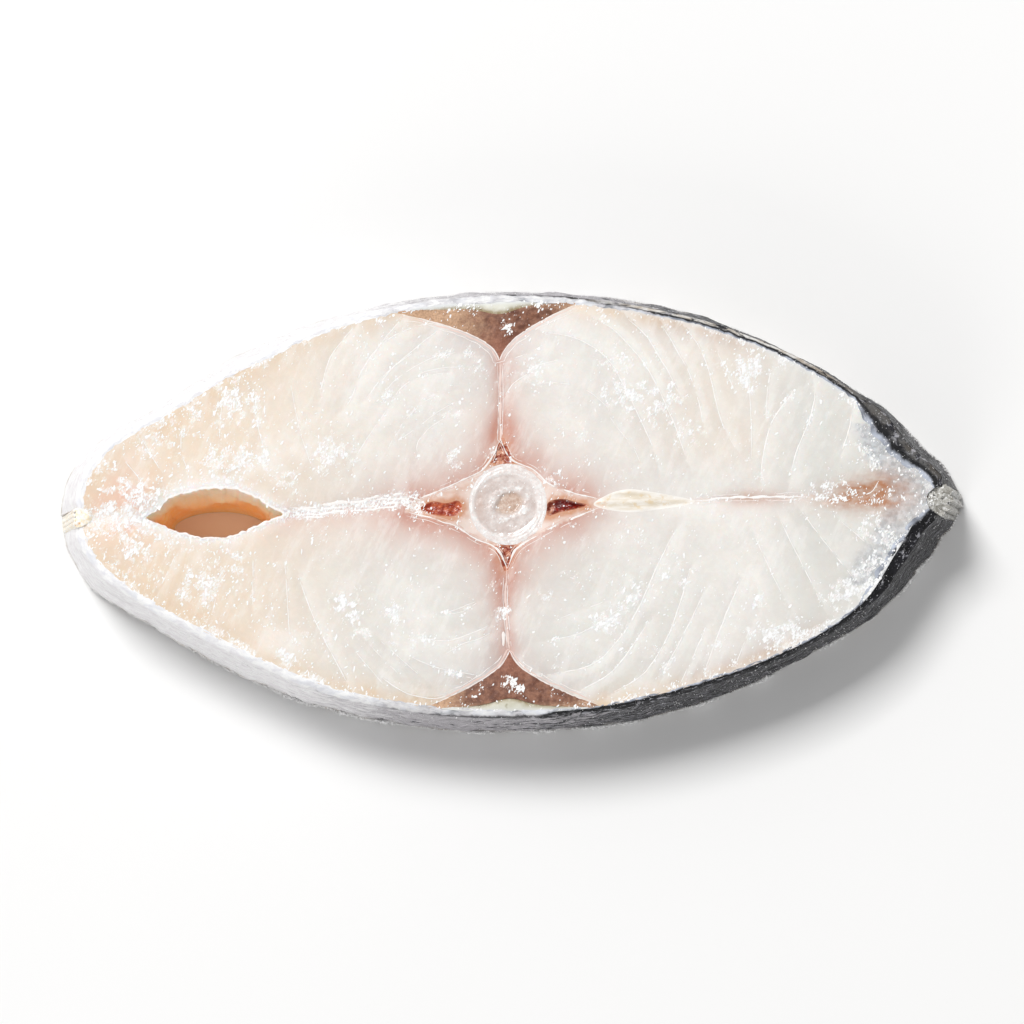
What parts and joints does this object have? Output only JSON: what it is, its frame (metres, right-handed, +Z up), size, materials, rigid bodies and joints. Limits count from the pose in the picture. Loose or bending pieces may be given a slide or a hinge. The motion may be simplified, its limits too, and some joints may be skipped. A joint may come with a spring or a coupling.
{
  "type": "frozen cod steak",
  "caption": "Frozen cod steak cut across the fish, with flaky white flesh, backbone, belly cavity and silver to black skin, lying on its cut face.",
  "frame": {"origin": "middle of the bounding box, on the plane of the lower cut face that the slice rests on", "axes": "+X from the belly slit to the back of the fish, +Z up out of the upper cut face, +Y towards the flank that lies away from the viewer in the picture"},
  "size_m": [0.171, 0.0838, 0.02],
  "materials": {
    "flesh": "frozen, moist and slightly translucent",
    "skin": "satin, wrinkled, charcoal towards the back and silver towards the belly",
    "pale_skin": "satin, wrinkled, white towards the belly and black towards the back",
    "bone": "smooth and moist",
    "dark_muscle": "matt, frosted",
    "frozen_blood": "frozen, partly glossy",
    "fat": "matt"
  },
  "bodies": {
    "root": {"flesh": "flesh", "skin_lower_flank": "skin", "skin_upper_flank": "pale_skin", "backbone": "bone", "neural_spine": "bone", "fin_base": "bone", "haemal_blood": "frozen_blood", "neural_blood": "frozen_blood", "side_blood_upper": "frozen_blood", "side_blood_lower": "frozen_blood", "dark_muscle_upper": "dark_muscle", "dark_muscle_lower": "dark_muscle", "subskin_fat_upper": "fat", "subskin_fat_lower": "fat", "belly_fat": "fat"}
  },
  "joints": []
}
